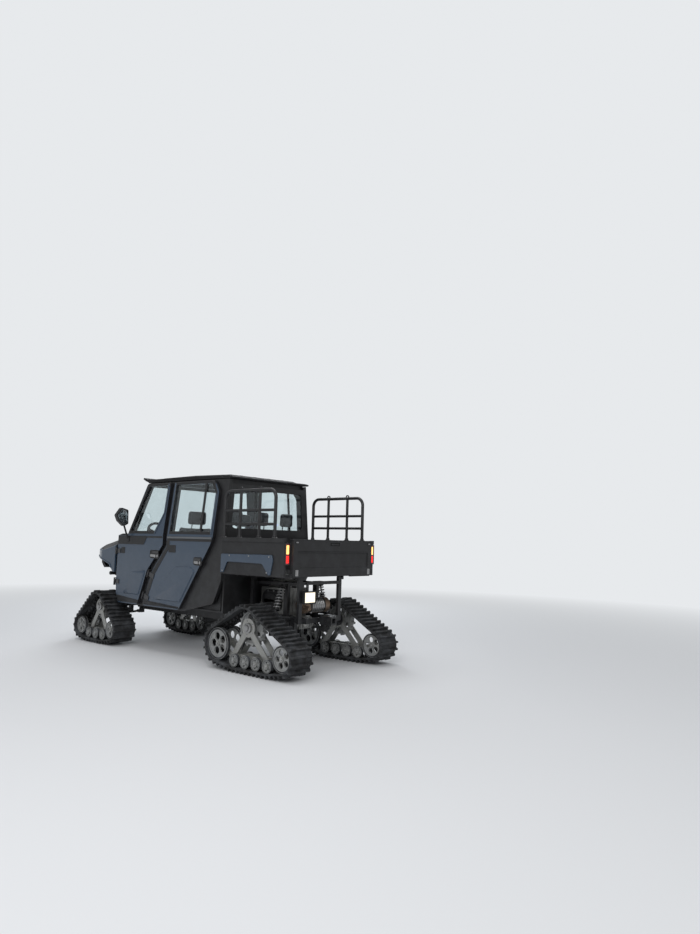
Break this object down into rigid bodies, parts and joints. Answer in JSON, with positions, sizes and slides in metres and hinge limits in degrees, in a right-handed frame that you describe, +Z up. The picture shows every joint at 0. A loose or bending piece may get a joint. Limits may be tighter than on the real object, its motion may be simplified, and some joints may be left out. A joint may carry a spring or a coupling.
{
  "type": "tracked crew-cab side-by-side utility vehicle",
  "caption": "Crew-cab side-by-side utility vehicle on triangular rubber track units, with opening doors and hood, steered front units, side racks and a dumping cargo box with a tailgate.",
  "frame": {"origin": "on the ground, midway between the foremost and rearmost track lugs, on the middle plane", "axes": "+X forward, +Y to the vehicle's left, +Z up"},
  "size_m": [4.1174, 1.8918, 2.1163],
  "materials": {
    "body_paint": "satin blue-grey paint",
    "black_frame": "black powder coat",
    "black_plastic": "grained black plastic",
    "dash_plastic": "fine-grained interior plastic",
    "gloss_black": "semi-gloss black",
    "glass": "clear safety glass",
    "seat_vinyl": "black seat vinyl",
    "rubber": "black rubber",
    "wheel_rubber": "moulded wheel",
    "cast_metal": "cast, worn",
    "steel": "machined steel",
    "engine_metal": "cast engine metal",
    "exhaust_steel": "heat-stained steel",
    "grip": "soft grip",
    "headlamp_lens": "clear lens over reflector",
    "tail_red": "red lens, lit",
    "work_light": "lit lens"
  },
  "bodies": {
    "chassis": {"frame": "black_frame", "skid_plate": "black_plastic", "engine_block": "engine_metal", "exhaust_muffler": "exhaust_steel", "front_suspension": "black_frame", "rear_suspension": "black_frame", "shock_absorbers": "steel", "body_tub": "black_plastic", "cab_frame": "black_frame", "cab_glass": "glass", "rear_wall": "black_plastic", "roof": "gloss_black", "dashboard": "dash_plastic", "front_seat": "seat_vinyl", "rear_seat": "seat_vinyl", "fenders": "body_paint", "front_fascia": "black_plastic", "headlamps": "headlamp_lens", "front_bumper": "black_frame", "work_lamp": "work_light", "rear_belt_left": "rubber", "rear_belt_right": "rubber", "rear_track_frames": "cast_metal", "rear_track_wheels": "wheel_rubber"},
    "hood": {"hood": "gloss_black"},
    "steering_wheel": {"steering_wheel": "grip"},
    "steering_rack": {"steering_rack": "black_frame"},
    "front_track_left": {"front_belt_left": "rubber", "front_unit_frame_left": "cast_metal", "front_wheels_left": "wheel_rubber", "knuckle_left": "steel"},
    "front_track_right": {"front_belt_right": "rubber", "front_unit_frame_right": "cast_metal", "front_wheels_right": "wheel_rubber", "knuckle_right": "steel"},
    "front_door_left": {"front_door_left": "body_paint", "front_door_glass_left": "glass", "mirror_left": "black_plastic"},
    "front_door_right": {"front_door_right": "body_paint", "front_door_glass_right": "glass", "mirror_right": "black_plastic"},
    "rear_door_left": {"rear_door_left": "body_paint", "rear_door_glass_left": "glass"},
    "rear_door_right": {"rear_door_right": "body_paint", "rear_door_glass_right": "glass"},
    "cargo_box": {"cargo_box": "black_plastic", "box_side_panels": "body_paint", "side_racks": "black_frame", "tail_lamps": "tail_red"},
    "tailgate": {"tailgate": "black_plastic"}
  },
  "joints": [
    {"name": "steer_left", "type": "hinge", "parent": "chassis", "child": "front_track_left", "pos_m": [1.54184, 0.5, 0.455], "axis": [0, 0, 1], "range_deg": [-18, 18]},
    {"name": "steer_right", "type": "hinge", "parent": "chassis", "child": "front_track_right", "pos_m": [1.54184, -0.5, 0.455], "axis": [0, 0, 1], "range_deg": [-18, 18]},
    {"name": "rack_travel", "type": "slide", "parent": "chassis", "child": "steering_rack", "axis": [0, 1, 0], "range_m": [-0.045, 0.045]},
    {"name": "steering_wheel_turn", "type": "hinge", "parent": "chassis", "child": "steering_wheel", "pos_m": [0.85184, 0.4, 1.4], "axis": [-0.848, 0, 0.5299], "range_deg": [-240, 240]},
    {"name": "hood_hinge", "type": "hinge", "parent": "chassis", "child": "hood", "pos_m": [1.52484, 0, 1.33859], "axis": [0, -1, 0], "range_deg": [0, 50]},
    {"name": "front_door_left_hinge", "type": "hinge", "parent": "chassis", "child": "front_door_left", "pos_m": [1.29884, 0.7375, 0.94], "axis": [0, 0, -1], "range_deg": [0, 70]},
    {"name": "front_door_right_hinge", "type": "hinge", "parent": "chassis", "child": "front_door_right", "pos_m": [1.29884, -0.7375, 0.94], "axis": [0, 0, 1], "range_deg": [0, 70]},
    {"name": "rear_door_left_hinge", "type": "hinge", "parent": "chassis", "child": "rear_door_left", "pos_m": [0.66684, 0.7375, 0.6], "axis": [0.309, 0, -0.9511], "range_deg": [0, 65]},
    {"name": "rear_door_right_hinge", "type": "hinge", "parent": "chassis", "child": "rear_door_right", "pos_m": [0.66684, -0.7375, 0.6], "axis": [-0.309, 0, 0.9511], "range_deg": [0, 65]},
    {"name": "box_dump", "type": "hinge", "parent": "chassis", "child": "cargo_box", "pos_m": [-1.60316, 0, 0.963], "axis": [0, -1, 0], "range_deg": [0, 40]},
    {"name": "tailgate_drop", "type": "hinge", "parent": "cargo_box", "child": "tailgate", "pos_m": [-1.78916, 0, 1.005], "axis": [0, -1, 0], "range_deg": [0, 90]}
  ],
  "couplings": [
    {"joint": "steer_right", "follows": "steer_left", "ratio": 1},
    {"joint": "rack_travel", "follows": "steer_left", "m_per_rad": 0.09},
    {"joint": "steering_wheel_turn", "follows": "steer_left", "ratio": 12}
  ]
}
